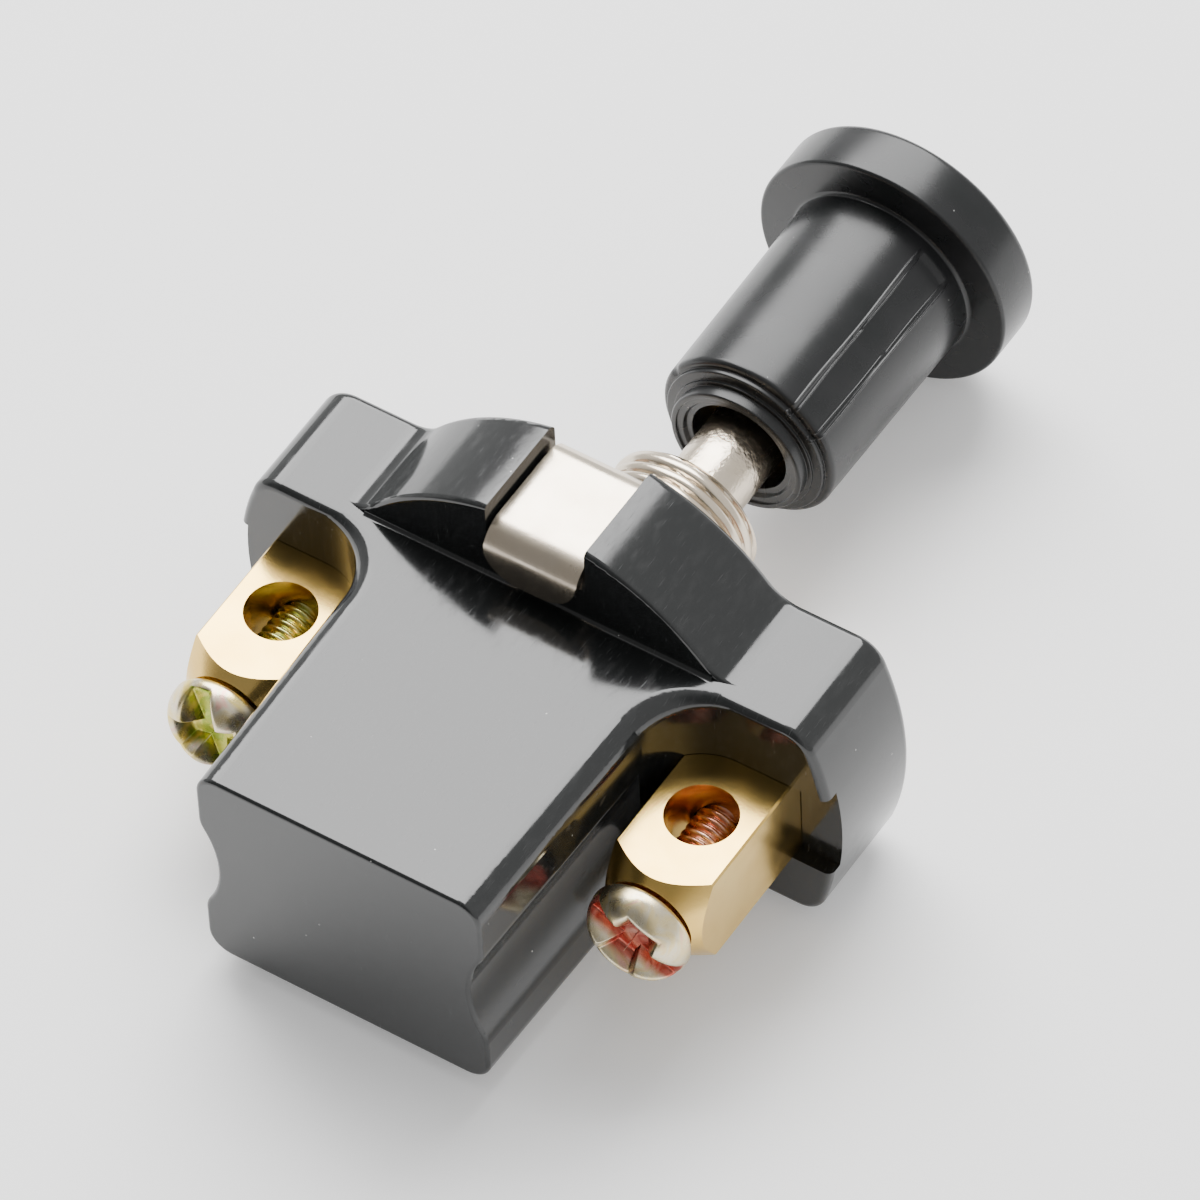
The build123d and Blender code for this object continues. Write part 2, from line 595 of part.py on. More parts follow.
def knob():
    """Mushroom knob: disc head, long hub, and a stepped spigot around the rod."""
    body = turned([
        (0, INSERT_START_Y), (SPIGOT_HOLE_R, INSERT_START_Y), (SPIGOT_HOLE_R, SPIGOT_END_Y),
        (SPIGOT_STEP_R, SPIGOT_END_Y), (SPIGOT_STEP_R, SPIGOT_END_Y - 0.25),
        (SPIGOT_R, SPIGOT_END_Y - 0.35), (SPIGOT_R, COLLAR_Y), (COLLAR_R, COLLAR_Y),
        (COLLAR_R, HUB_END_Y), (HUB_R, HUB_END_Y), (HUB_HEAD_R, HEAD_REAR_Y),
        (HEAD_R, HEAD_REAR_Y), (HEAD_R, HEAD_RIM_Y), (HEAD_R - 2.5, HEAD_CROWN_Y), (0, HEAD_CROWN_Y),
    ])
    rims = [e for e in body.edges().filter_by(GeomType.CIRCLE) if e.radius > HEAD_R - 0.1]
    body = fillet([e for e in rims if e.center().Y > HEAD_REAR_Y - 0.1], HEAD_REAR_EDGE_R)
    rims = [e for e in body.edges().filter_by(GeomType.CIRCLE) if e.radius > HEAD_R - 0.1]
    body = fillet([e for e in rims if e.center().Y < HEAD_RIM_Y + 0.1], HEAD_FRONT_EDGE_R)
    root = [
        e for e in body.edges().filter_by(GeomType.CIRCLE)
        if abs(e.radius - HUB_HEAD_R) < 0.01 and abs(e.center().Y - HEAD_REAR_Y) < 0.01
    ]
    body = fillet(root, KNOB_EDGE_R)
    hub_end = [
        e for e in body.edges().filter_by(GeomType.CIRCLE)
        if abs(e.radius - HUB_R) < 0.01 and abs(e.center().Y - HUB_END_Y) < 0.01
    ]
    body = fillet(hub_end, KNOB_EDGE_R)
    groove = block_of(
        HUB_R - HUB_GROOVE_DEPTH, HUB_R + 1, HUB_GROOVE_END_Y, COLLAR_Y,
        -HUB_GROOVE_WIDTH / 2, HUB_GROOVE_WIDTH / 2,
    )
    body -= Rot(0, -HUB_GROOVE_DEG, 0) * groove
    return body - rod_y(INSERT_R, INSERT_START_Y + 0.1, INSERT_END_Y)


def knob_insert():
    """Threaded brass insert moulded into the knob."""
    bore = KNOB_THREAD_R + INSERT_CLEARANCE
    insert = rod_y(INSERT_R, INSERT_START_Y, INSERT_END_Y)
    return insert - rod_y(bore, INSERT_START_Y + 1, KNOB_THREAD_END_Y - 0.3)


# ---- all pieces --------------------------------------------------------------------

SINGLE_PIECES = {
    "housing": housing,
    "front_cover": front_cover,
    "mounting_bracket": mounting_bracket,
    "threaded_bush": threaded_bush,
    "detent_spring": detent_spring,
    "pull_rod": pull_rod,
    "shoulder_washer": shoulder_washer,
    "contact_carrier": contact_carrier,
    "contact_ring": contact_ring,
    "carrier_collar": carrier_collar,
    "end_washer": end_washer,
    "retaining_clip": retaining_clip,
    "knob": knob,
    "knob_insert": knob_insert,
}

PAIRED_PIECES = {
    "terminal_block": terminal_block,
    "clamp_screw": clamp_screw,
    "fixed_contact": fixed_contact,
    "contact_screw": contact_screw,
}

os.makedirs("parts", exist_ok=True)
for piece_name, make in SINGLE_PIECES.items():
    save(piece_name, make())
for piece_name, make in PAIRED_PIECES.items():
    for side_name, side_sign in SIDES.items():
        save(piece_name + "_" + side_name, make(side_sign))
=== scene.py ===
import json
import math

import bmesh
import bpy
from mathutils import Matrix, Vector


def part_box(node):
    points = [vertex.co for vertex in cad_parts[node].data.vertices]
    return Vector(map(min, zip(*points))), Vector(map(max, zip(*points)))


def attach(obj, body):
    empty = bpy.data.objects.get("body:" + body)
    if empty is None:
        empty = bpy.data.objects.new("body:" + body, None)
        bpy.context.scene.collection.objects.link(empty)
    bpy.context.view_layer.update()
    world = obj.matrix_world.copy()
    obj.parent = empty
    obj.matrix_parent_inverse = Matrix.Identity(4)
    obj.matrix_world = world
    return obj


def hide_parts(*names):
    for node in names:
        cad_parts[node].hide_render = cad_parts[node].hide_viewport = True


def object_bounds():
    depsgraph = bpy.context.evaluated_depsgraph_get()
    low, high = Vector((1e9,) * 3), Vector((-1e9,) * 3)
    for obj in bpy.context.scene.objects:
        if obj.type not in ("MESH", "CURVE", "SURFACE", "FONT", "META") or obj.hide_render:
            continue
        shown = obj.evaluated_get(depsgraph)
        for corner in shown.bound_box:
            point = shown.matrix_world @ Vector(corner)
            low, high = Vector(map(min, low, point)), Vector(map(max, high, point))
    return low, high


# Push-pull lamp switch. Lengths are in millimetres here and turned into metres by MM.
# Y runs along the pull rod: the knob is towards -Y and the terminals face +Y.
MM = 0.001

# ---- camera and light --------------------------------------------------------------

CAMERA_AZIMUTH = 215.0   # degrees round +Z, 0 looks along +Y
CAMERA_ELEVATION = 51.0
CAMERA_ROLL = 2.96
CAMERA_DISTANCE = 873.4
CAMERA_AIM = (-0.67, 3.38, 3.42)
CAMERA_LENS = 370.7
CAMERA_SENSOR = 36.0
CLIP_START = 0.05        # metres
CLIP_END = 20.0

FLOOR_GAP = 0.05         # below the lowest point of the switch
FLOOR_HALF = 900.0
FLOOR_GLOW = 0.25
SKY_BRIGHT = 1.0
SKY_DIM = 0.3            # dark side of the room, behind the camera
DIM_TOWARDS = (0.2, 0.82, 0.5)
DIM_FROM = 0.45          # cosines of the angle to DIM_TOWARDS where the dimming starts and ends
DIM_TO = 0.9
OVERHEAD_TOWARDS = (0.361, -0.5155, 0.777)
OVERHEAD_DISTANCE = 900
OVERHEAD_SIZE = (900, 700)
OVERHEAD_WATTS = 22

# ---- the threaded and moulded pieces -----------------------------------------------

SIDES = {"left": -1, "right": 1}
MERGE_DISTANCE = 0.0005
SHARP_DEG = 50.0         # edges that turn by more than this stay sharp

BUSH_BORE_R = 3.04
BUSH_THREAD_R = 6.0
BUSH_THREAD_END_Y = -0.4
BUSH_THREAD_DEPTH = 0.36
BUSH_ROOT_POWER = 0.55   # the lower it is, the narrower the roots
BUSH_PITCH = 1.0
BUSH_RUN_OUT = 0.6       # length over which the thread fades at each end
BUSH_RUN_OUT_INSET = 0.8
BUSH_CHAMFER_DEPTH = 0.5
BUSH_CHAMFER_LENGTH = 0.4
BUSH_STEPS_PER_TURN = 14
BUSH_STEPS_ROUND = 144
BUSH_NECK_R = 5.8
BUSH_NECK_CHAMFER = 0.15
BUSH_FLANGE_Y = 2.6
BUSH_FLANGE_T = 1.2
BUSH_GUIDE_R = 5.0
DETENT_Y = 5.5
SPRING_WIRE_R = 0.5
SPRING_WIRE_X = 3.05
SPRING_SIDE_GAP = 0.15
SPRING_FLOOR_GAP = 0.3
SLOT_OVERRUN = 1.0       # of the slot's cutter past the guide
SLOT_REACH = 8.0

POOLED = "pooled"        # point attribute: how much of the coloured film has gathered
THREAD_FILM = 0.45
FILM_REACH = 0.55        # from the edge of the recess to where the pooled film ends
FILM_SINK = 0.8          # depth over which the film builds up, and its part at the top
FILM_SINK_START = 0.4
FILM_CROWN_GAP = 0.15
FILM_EDGE = 0.05         # film stops this far inside the head's rim
FILM_FLOOR_GAP = 0.1     # and this far below the recess floor
FILM_RIM_REACH = 0.2
FILM_RIM_RUN = 0.3
SCREW_R = 2.0
SCREW_CHAMFER = 0.5
SCREW_NECK = 0.3
SCREW_NECK_SHARE = 0.85  # of the thread's radius
SCREW_UNDERCUT = 0.1
SCREW_THREAD_GAP = 0.2   # plain length under the head
SCREW_STEPS_PER_TURN = 12
SCREW_STEPS_ROUND = 288
SCREW_HEAD_H = 3.1
SCREW_PITCH = 0.7
SCREW_THREAD_DEPTH = 0.38
SCREW_ROOT_POWER = 0.8
SCREW_RUN_OUT = 0.5
SCREW_RUN_OUT_TIP = 0.7
SCREW_RUN_OUT_HEAD = 0.6
HEAD_SEAT_R = 0.7        # roundings of the head's rear and front edges
HEAD_FRONT_R = 2.3
HEAD_SIDE_H = 0.6        # plain side above the seat, left out of the recess
HEAD_ARC_STEPS = 22
HEAD_CROWN_STEPS = 26
SCREW_TURN = {"left": 27.0, "right": 74.0}   # degrees from +X to the slot, seen from the knob
CROWN_DROP = 0.25        # fall of the head's crown from its middle to its rim
RECESS_HALF = 0.72
RECESS_DEPTH = 1.85
RECESS_WALL = 2.1        # rise of the recess walls per millimetre
RECESS_SOFTNESS = 0.85
CROSS_REACH = 2.0
CROSS_END_SLOPE = 0.8    # the cross ends more gently than its sides

HUB_R = 7.23
HUB_HEAD_R = 7.4
HUB_END_Y = -17.05
HUB_STEPS = 60
HUB_HEAD_GAP = 0.9       # ends of the hub's plain length
HUB_END_GAP = 0.6
HEAD_REAR_Y = -35.2
HEAD_RIM_Y = -39.5
CROWN_EDGE = 2.5         # width and rounding of the knob's crown edge
CROWN_EDGE_R = 3.0
CROWN_STEPS = 12
KNOB_STEPS_ROUND = 150
COLLAR_R = 6.6
COLLAR_Y = -16.6
SHOULDER_WIDTH = 0.35
SHOULDER_HEIGHT = 0.25
SPIGOT_R = 5.5
FACE_RIM_R = 5.05        # steps in the spigot's end face
FACE_STEP_R = 4.55
FACE_STEP_DEPTH = 0.18
HOLE_LIP_R = 4.4
HOLE_LIP_DEPTH = 0.5
HOLE_R = 3.95
INSERT_R = 4.4
INSERT_Y = -19.1
INSERT_END_Y = -31.6
RIDGE_Y = -34.7          # fine line round the hub beside the head
RIDGE_HEIGHT = 0.07
RIDGE_WIDTH = 0.09
GROOVE_DEG = 137.0       # from +X towards +Z
GROOVE_HALF = 1.45
GROOVE_DEPTH = 0.12
GROOVE_END_Y = -34.0
GROOVE_END_RUN = 0.3
GROOVE_EDGE_WIDTH = 0.12
FLASH_LINES = (1.2, 1.62)
FLASH_HEIGHT = 0.08
FLASH_WIDTH = 0.06
FLASH_WANDER = 0.05
FLASH_JOG = 0.12         # sideways step of the inner lines halfway along
FLASH_FINE_STEPS = 7     # extra mesh columns each side of a flash line
NICK_DEG = 30.0
NICK_DEPTH = 0.3
NICK_WIDTH = 0.35
NICK_LENGTH = 0.5


# ---- shader helpers ----------------------------------------------------------------

class Graph:
    """A small wrapper that adds and links shader nodes."""

    def __init__(self, name):
        self.material = bpy.data.materials.new(name)
        self.material.use_nodes = True
        self.nodes = self.material.node_tree.nodes
        self.links = self.material.node_tree.links
        self.shader = self.nodes["Principled BSDF"]
        self.coords = self.add("ShaderNodeTexCoord").outputs["Object"]

    def add(self, kind, **values):
        node = self.nodes.new(kind)
        for key, value in values.items():
            setattr(node, key, value)
        return node

    def feed(self, node, key, value):
        """Sets a socket to a constant or links an output to it."""
        socket = node.inputs[key]
        if hasattr(value, "is_linked"):
            self.links.new(value, socket)
        else:
            socket.default_value = value

    def constant(self, **values):
        """Constants set straight on the surface shader."""
        for key, value in values.items():
            self.shader.inputs[key.replace("_", " ")].default_value = value

    def scaled(self, scale, rotate=(0, 0, 0)):
        """Object coordinates, turned and scaled."""
        mapping = self.add("ShaderNodeMapping")
        self.feed(mapping, "Vector", self.coords)
        self.feed(mapping, "Rotation", rotate)
        self.feed(mapping, "Scale", scale)
        return mapping.outputs["Vector"]

    def noise(self, size_mm, detail=3.0, stretch=(1, 1, 1), rotate=(0, 0, 0), distortion=0.0):
        """Noise whose grain is about size_mm across."""
        node = self.add("ShaderNodeTexNoise")
        scale = 1 / (size_mm * MM)
        self.feed(node, "Vector", self.scaled([scale * s for s in stretch], rotate))
        self.feed(node, "Scale", 1.0)
        self.feed(node, "Detail", detail)
        self.feed(node, "Distortion", distortion)
        return node.outputs["Fac"]

    def cells(self, size_mm):
        """Distance to the nearest of scattered points about size_mm apart."""
        node = self.add("ShaderNodeTexVoronoi", feature="F1")
        self.feed(node, "Vector", self.scaled([1 / (size_mm * MM)] * 3))
        self.feed(node, "Scale", 1.0)
        return node.outputs["Distance"]

    def math(self, operation, a, b):
        node = self.add("ShaderNodeMath", operation=operation)
        self.feed(node, 0, a)
        self.feed(node, 1, b)
        return node.outputs[0]

    def remap(self, value, low, high, to_low=0.0, to_high=1.0):
        node = self.add("ShaderNodeMapRange")
        self.feed(node, "Value", value)
        self.feed(node, "From Min", low)
        self.feed(node, "From Max", high)
        self.feed(node, "To Min", to_low)
        self.feed(node, "To Max", to_high)
        return node.outputs["Result"]

    def ramp(self, value, stops):
        node = self.add("ShaderNodeValToRGB")
        self.feed(node, "Fac", value)
        elements = node.color_ramp.elements
        while len(elements) < len(stops):
            elements.new(0.5)
        for element, (position, colour) in zip(elements, stops):
            element.position = position
            element.color = (*colour, 1)
        return node.outputs["Color"]

    def mix(self, factor, a, b):
        node = self.add("ShaderNodeMix", data_type="RGBA")
        self.feed(node, 0, factor)
        self.feed(node, 6, a if hasattr(a, "is_linked") else (*a, 1))
        self.feed(node, 7, b if hasattr(b, "is_linked") else (*b, 1))
        return node.outputs[2]

    def bump(self, height, depth_mm, under=None):
        node = self.add("ShaderNodeBump")
        self.feed(node, "Height", height)
        self.feed(node, "Strength", 1.0)
        self.feed(node, "Distance", depth_mm * MM)
        if under:
            self.feed(node, "Normal", under)
        return node.outputs["Normal"]

    def surface(self, **links):
        for key, value in links.items():
            self.feed(self.shader, key.replace("_", " "), value)
        return self.material


# ---- materials ---------------------------------------------------------------------

def black_bakelite():
    """Glossy black phenolic: faint flow marks, a grazed top, hairlines and a little dust."""
    g = Graph("black_bakelite")
    g.constant(IOR=1.56)
    swirl = g.noise(5.0, detail=2.0, distortion=0.6)
    grain = g.noise(0.3, detail=2.0)
    flow = g.noise(1.3, detail=2.0, stretch=(1, 1, 0.35), distortion=2.5)
    normal = g.bump(swirl, 0.005)
    normal = g.bump(flow, 0.0008, normal)
    normal = g.bump(grain, 0.0012, normal)
    dust = g.remap(g.cells(2.3), 0.034, 0.02)
    fine_dust = g.math("MULTIPLY", g.remap(g.cells(0.9), 0.03, 0.015), g.remap(swirl, 0.5, 0.62))
    hairline = g.noise(0.8, detail=2.0, stretch=(14, 0.5, 1), rotate=(0, 0, 0.6))
    other_way = g.noise(0.9, detail=2.0, stretch=(12, 0.6, 1), rotate=(0, 0, -0.9))
    scratch = g.math("MAXIMUM", g.remap(hairline, 0.67, 0.74), g.remap(other_way, 0.68, 0.75))
    graze = g.remap(g.noise(1.6, detail=5.0, stretch=(3, 1, 1), rotate=(0, 0, 0.8)), 0.5, 0.75)
    roughness = g.remap(swirl, 0.3, 0.7, 0.10, 0.15)
    roughness = g.math("ADD", roughness, g.math("MULTIPLY", graze, 0.09))
    roughness = g.math("ADD", roughness, g.math("MULTIPLY", scratch, 0.12))
    specks = g.math("MAXIMUM", dust, g.math("MULTIPLY", fine_dust, 0.5))
    colour = g.mix(graze, (0.009, 0.010, 0.010), (0.015, 0.016, 0.016))
    colour = g.mix(g.math("MULTIPLY", scratch, 0.2), colour, (0.10, 0.10, 0.10))
    colour = g.mix(specks, colour, (0.42, 0.42, 0.40))
    return g.surface(Base_Color=colour, Roughness=roughness, Normal=normal)


def black_knob_plastic():
    """Smooth black moulding with a very fine grain and a few specks."""
    g = Graph("black_knob_plastic")
    g.constant(IOR=1.43)
    grain = g.noise(0.14, detail=3.0)
    cloud = g.noise(4.0, detail=3.0)
    normal = g.bump(grain, 0.0022, g.bump(cloud, 0.02))
    roughness = g.remap(cloud, 0.3, 0.7, 0.24, 0.31)
    specks = g.remap(g.cells(1.9), 0.032, 0.02)
    colour = g.mix(g.remap(cloud, 0.35, 0.75), (0.007, 0.008, 0.008), (0.012, 0.012, 0.013))
    colour = g.mix(specks, colour, (0.30, 0.30, 0.29))
    return g.surface(Base_Color=colour, Roughness=roughness, Normal=normal)


def nickel(name, pit_depth):
    """Warm nickel plate over drawn steel, with the fine orange peel of the steel below."""
    g = Graph(name)
    g.constant(Metallic=1.0)
    peel = g.noise(0.45, detail=3.0)
    rolled = g.noise(0.12, detail=2.0, stretch=(1, 0.25, 1))
    cloud = g.noise(3.0, detail=3.0)
    normal = g.bump(rolled, pit_depth / 4, g.bump(peel, pit_depth))
    roughness = g.remap(cloud, 0.3, 0.7, 0.18, 0.28)
    spots = g.remap(g.cells(1.4), 0.05, 0.02)
    colour = g.mix(g.remap(cloud, 0.3, 0.7), (0.72, 0.63, 0.51), (0.64, 0.55, 0.43))
    colour = g.mix(g.math("MULTIPLY", spots, 0.6), colour, (0.25, 0.21, 0.17))
    return g.surface(Base_Color=colour, Roughness=roughness, Normal=normal)


def brass():
    """Bright drawn brass with faint tool lines and small dark spots."""
    g = Graph("bright_brass")
    g.constant(Metallic=1.0)
    lines = g.noise(0.12, detail=3.0, stretch=(1, 0.08, 1))
    specks = g.noise(0.18, detail=2.0)
    cloud = g.noise(3.5, detail=3.0)
    normal = g.bump(specks, 0.0025, g.bump(lines, 0.0025))
    roughness = g.remap(cloud, 0.3, 0.7, 0.16, 0.26)
    spots = g.remap(g.cells(1.7), 0.04, 0.02)
    colour = g.mix(g.remap(cloud, 0.3, 0.7), (0.87, 0.60, 0.19), (0.78, 0.51, 0.14))
    colour = g.mix(g.math("MULTIPLY", spots, 0.7), colour, (0.30, 0.17, 0.07))
    return g.surface(Base_Color=colour, Roughness=roughness, Normal=normal)


def yellow_zinc(name, head_tints, recess_tints):
    """Yellow-chromated zinc: the film drifts in colour and is stronger where it pooled."""
    g = Graph(name)
    g.constant(Metallic=1.0)
    film = g.noise(2.2, detail=2.0, distortion=1.0)
    colours = []
    for tints in (head_tints, recess_tints):
        steps = len(tints) - 1
        stops = [(0.32 + 0.36 * i / steps, tint) for i, tint in enumerate(tints)]
        colours.append(g.ramp(film, stops))
    pooled = g.add("ShaderNodeAttribute", attribute_name=POOLED).outputs["Fac"]
    colour = g.mix(g.remap(pooled, 0.05, 0.6), *colours)
    blotch = g.remap(g.noise(0.5, detail=4.0), 0.58, 0.75)
    colour = g.mix(g.math("MULTIPLY", blotch, 0.35), colour, (0.36, 0.30, 0.20))
    grain = g.noise(0.18, detail=3.0)
    normal = g.bump(grain, 0.004, g.bump(film, 0.02))
    roughness = g.remap(g.noise(1.0, detail=3.0), 0.3, 0.7, 0.22, 0.34)
    return g.surface(Base_Color=colour, Roughness=roughness, Normal=normal)


def brown_fibre():
    """Pressed brown fibre board."""
    g = Graph("brown_fibre")
    fibres = g.noise(0.4, detail=6.0, stretch=(1, 1, 4), rotate=(0, 0.6, 0))
    colour = g.mix(fibres, (0.16, 0.07, 0.035), (0.30, 0.15, 0.08))
    normal = g.bump(fibres, 0.02)
    return g.surface(Base_Color=colour, Roughness=g.remap(fibres, 0.3, 0.7, 0.55, 0.75), Normal=normal)


def drawn_steel():
    """Plain drawn spring wire."""
    g = Graph("spring_steel")
    g.constant(Metallic=1.0)
    lines = g.noise(0.1, detail=3.0)
    colour = g.mix(lines, (0.42, 0.42, 0.43), (0.55, 0.55, 0.56))
    return g.surface(Base_Color=colour, Roughness=g.remap(lines, 0.3, 0.7, 0.25, 0.4))


def spring_bronze():
    """Rolled bronze strip."""
    g = Graph("spring_bronze")
    g.constant(Metallic=1.0)
    rolled = g.noise(0.2, detail=4.0, stretch=(1, 0.1, 1))
    colour = g.mix(rolled, (0.62, 0.36, 0.18), (0.74, 0.46, 0.25))
    return g.surface(Base_Color=colour, Roughness=g.remap(rolled, 0.3, 0.7, 0.25, 0.4))


def pale_floor():
    """Matt white sweep, lifted a little so that it stays as pale as a lit table."""
    g = Graph("pale_floor")
    g.constant(Emission_Strength=FLOOR_GLOW, Emission_Color=(1, 1, 1, 1))
    cloud = g.noise(60.0, detail=2.0)
    colour = g.mix(cloud, (0.90, 0.90, 0.90), (0.92, 0.92, 0.92))
    return g.surface(Base_Color=colour, Roughness=g.remap(cloud, 0.3, 0.7, 0.8, 0.9))


STRAW = (0.74, 0.61, 0.33)
SILVER = (0.70, 0.63, 0.47)
YELLOW = (0.76, 0.60, 0.16)
PINK = (0.78, 0.46, 0.37)
ROSE = (0.56, 0.18, 0.13)
RED = (0.38, 0.06, 0.04)
OLIVE = (0.46, 0.42, 0.07)
GREEN = (0.26, 0.34, 0.04)

MATERIALS = {
    "black_bakelite": black_bakelite(),
    "black_knob_plastic": black_knob_plastic(),
    "nickel_plated_steel": nickel("nickel_plate", 0.006),
    "bright_brass": brass(),
    "yellow_zinc": yellow_zinc("yellow_zinc", (STRAW, SILVER, STRAW), (STRAW, YELLOW)),
    "brown_fibre": brown_fibre(),
    "spring_steel": drawn_steel(),
    "spring_bronze": spring_bronze(),
}
ROD_MATERIAL = nickel("nickel_rod", 0.05)
SCREW_MATERIALS = {
    "left": yellow_zinc("yellow_zinc_red", (PINK, STRAW, SILVER, STRAW), (ROSE, RED, ROSE, PINK)),
    "right": yellow_zinc("yellow_zinc_green", (PINK, SILVER, STRAW, YELLOW), (OLIVE, GREEN, YELLOW)),
}


def paint(obj, material):
    obj.data.materials.clear()
    obj.data.materials.append(material)


# ---- mesh helpers ------------------------------------------------------------------

def corner_arc(before, corner, after, radius, steps):
    """Points of the arc that rounds one corner of an outline."""
    corner = Vector(corner)
    to_before = (Vector(before) - corner).normalized()
    to_after = (Vector(after) - corner).normalized()
    half = to_before.angle(to_after) / 2
    reach = radius / math.tan(half)
    centre = corner + (to_before + to_after).normalized() * radius / math.sin(half)
    first = corner + to_before * reach - centre
    last = corner + to_after * reach - centre
    turn = first.angle_signed(last)
    points = []
    for i in range(steps + 1):
        angle = -turn * i / steps
        cosine, sine = math.cos(angle), math.sin(angle)
        points.append((
            centre.x + first.x * cosine - first.y * sine,
            centre.y + first.x * sine + first.y * cosine,
        ))
    return points


def rounded(corners, steps=5):
    """Outline of (radius, y) points from (radius, y, rounding) corners."""
    outline = []
    for i, (radius, y, rounding) in enumerate(corners):
        if rounding == 0:
            outline.append((radius, y))
            continue
        before = corners[i - 1][:2]
        after = corners[i + 1][:2]
        outline += corner_arc(before, (radius, y), after, rounding, steps)
    return outline


def divided(start, end, count):
    """Evenly spaced points between two points, both left out."""
    points = []
    for i in range(1, count):
        t = i / count
        points.append((start[0] + (end[0] - start[0]) * t, start[1] + (end[1] - start[1]) * t))
    return points


def unit(value):
    """The value held between 0 and 1."""
    return max(0.0, min(1.0, value))


def even_angles(count):
    return [2 * math.pi * i / count for i in range(count)]


def turned_piece(name, outline, angles, centre=(0, 0), shape=None, ring=False):
    """Turns an outline about Y. shape(angle, radius, y) may move each point."""
    verts = []
    rows = []
    for radius, y in outline:
        if radius < 1e-6:
            rows.append([len(verts)] * len(angles))
            verts.append((centre[0] * MM, y * MM, centre[1] * MM))
            continue
        row = []
        for angle in angles:
            r, along = shape(angle, radius, y) if shape else (radius, y)
            row.append(len(verts))
            x = centre[0] + r * math.cos(angle)
            z = centre[1] + r * math.sin(angle)
            verts.append((x * MM, along * MM, z * MM))
        rows.append(row)
    if ring:
        rows.append(rows[0])
    faces = []
    for row, after in zip(rows, rows[1:]):
        for k in range(len(angles)):
            following = (k + 1) % len(angles)
            quad = (row[k], row[following], after[following], after[k])
            face = list(dict.fromkeys(quad))
            if len(face) > 2:
                faces.append(face)
    mesh = bpy.data.meshes.new(name)
    mesh.from_pydata(verts, [], faces)
    return new_piece(name, mesh)


def new_piece(name, mesh):
    """Links a closed mesh with clean, outward, smooth faces."""
    work = bmesh.new()
    work.from_mesh(mesh)
    bmesh.ops.remove_doubles(work, verts=work.verts, dist=MERGE_DISTANCE * MM)
    bmesh.ops.dissolve_degenerate(work, edges=work.edges, dist=MERGE_DISTANCE * MM)
    bmesh.ops.recalc_face_normals(work, faces=work.faces)
    for face in work.faces:
        face.smooth = True
    work.to_mesh(mesh)
    work.free()
    piece = bpy.data.objects.new(name, mesh)
    bpy.context.scene.collection.objects.link(piece)
    return piece


def cut_away(piece, low, high):
    """Takes the box between two corners out of a piece."""
    cutter_mesh = bpy.data.meshes.new("cutter")
    work = bmesh.new()
    bmesh.ops.create_cube(work, size=1.0)
    for vert in work.verts:
        for axis in range(3):
            vert.co[axis] = (low[axis] if vert.co[axis] < 0 else high[axis]) * MM
    work.to_mesh(cutter_mesh)
    work.free()
    cutter = bpy.data.objects.new("cutter", cutter_mesh)
    bpy.context.scene.collection.objects.link(cutter)
    boolean = piece.modifiers.new("cut", "BOOLEAN")
    boolean.operation = "DIFFERENCE"
    boolean.solver = "EXACT"
    boolean.object = cutter
    depsgraph = bpy.context.evaluated_depsgraph_get()
    result = bpy.data.meshes.new_from_object(piece.evaluated_get(depsgraph))
    piece.modifiers.clear()
    piece.data = result
    bpy.data.objects.remove(cutter)


def stand_in(piece, node, body, material):
    """Puts a detailed piece in the place of a CAD node."""
    paint(piece, material)
    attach(piece, body)
    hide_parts(node)


# ---- threads -----------------------------------------------------------------------

def thread_depth(angle, y, pitch, root_power):
    """0 on a crest and 1 in the root of a right-hand thread about Y."""
    phase = (y / pitch - angle / (2 * math.pi)) % 1.0
    return 1 - abs(math.sin(math.pi * phase)) ** root_power


def fade(y, start, end, run):
    """1 between start and end, falling to 0 over the run outside them."""
    return max(0.0, min(1.0, (y - start) / run + 1, (end - y) / run + 1))


# ---- threaded bush -----------------------------------------------------------------

def bush_outline(front_y, guide_y, flange_r):
    """Closed outline of the bush's wall, with the thread as a plain cylinder."""
    thread_y = front_y + BUSH_CHAMFER_LENGTH
    flange_end_y = BUSH_FLANGE_Y + BUSH_FLANGE_T
    turns = (BUSH_THREAD_END_Y - front_y) / BUSH_PITCH
    outline = rounded([
        (BUSH_BORE_R, front_y, 0), (BUSH_THREAD_R - BUSH_CHAMFER_DEPTH, front_y, 0.12),
        (BUSH_THREAD_R, thread_y, 0),
    ])
    steps = int(turns * BUSH_STEPS_PER_TURN)
    outline += divided((BUSH_THREAD_R, thread_y), (BUSH_THREAD_R, BUSH_THREAD_END_Y), steps)
    outline += rounded([
        (BUSH_THREAD_R, BUSH_THREAD_END_Y, 0),
        (BUSH_NECK_R, BUSH_THREAD_END_Y + BUSH_NECK_CHAMFER, 0),
        (BUSH_NECK_R, BUSH_FLANGE_Y, 0.05), (flange_r, BUSH_FLANGE_Y, 0.1),
        (flange_r, flange_end_y, 0.1), (BUSH_GUIDE_R, flange_end_y, 0.05),
        (BUSH_GUIDE_R, guide_y, 0.15), (BUSH_BORE_R, guide_y, 0),
    ], steps=3)
    return outline


def cut_spring_slots(bush):
    """Cuts the slots in the guide that the detent spring's two wires lie in."""
    slot_half = SPRING_WIRE_R + SPRING_SIDE_GAP
    for side in SIDES.values():
        inner = side * (SPRING_WIRE_X - SPRING_WIRE_R - SPRING_FLOOR_GAP)
        outer = side * (BUSH_GUIDE_R + SLOT_OVERRUN)
        low_corner = (min(inner, outer), DETENT_Y - slot_half, -SLOT_REACH)
        high_corner = (max(inner, outer), DETENT_Y + slot_half, SLOT_REACH)
        cut_away(bush, low_corner, high_corner)


